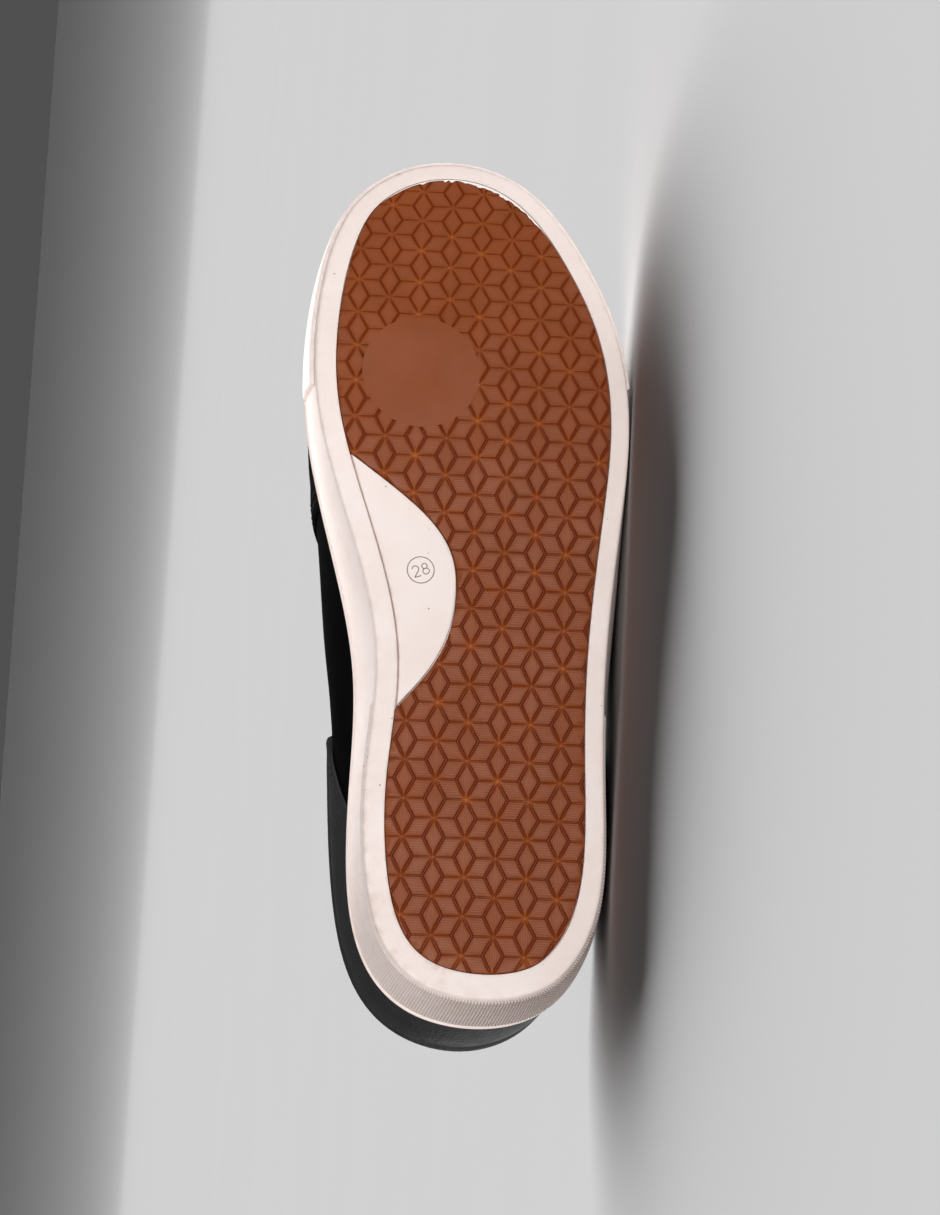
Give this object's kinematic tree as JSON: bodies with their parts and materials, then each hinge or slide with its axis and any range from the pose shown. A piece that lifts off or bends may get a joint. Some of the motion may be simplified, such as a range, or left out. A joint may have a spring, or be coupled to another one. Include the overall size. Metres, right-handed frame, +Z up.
{
  "type": "sneaker",
  "caption": "Low slip-on sneaker, a left shoe lying on its outer side, with a hollow leather upper, a white rubber cup sole and a gum tread pad.",
  "frame": {"origin": "centre of the bottom of the bounding box, on the floor that the shoe lies on", "axes": "+X from heel to toe, +Y from the sole's underside towards the collar, +Z up, away from the floor"},
  "size_m": [0.3176, 0.0886, 0.1137],
  "materials": {
    "gum_rubber": "matte gum brown",
    "white_rubber": "warm white, slightly glossy",
    "black_leather": "grained black, satin",
    "insole_fabric": "dark woven lining"
  },
  "bodies": {
    "root": {"outsole_gum": "gum_rubber", "cupsole": "white_rubber", "arch_insert": "white_rubber", "toe_bumper": "white_rubber", "heel_band": "white_rubber", "upper": "black_leather", "vamp_panel": "black_leather", "heel_counter": "black_leather", "insole": "insole_fabric"}
  },
  "joints": []
}
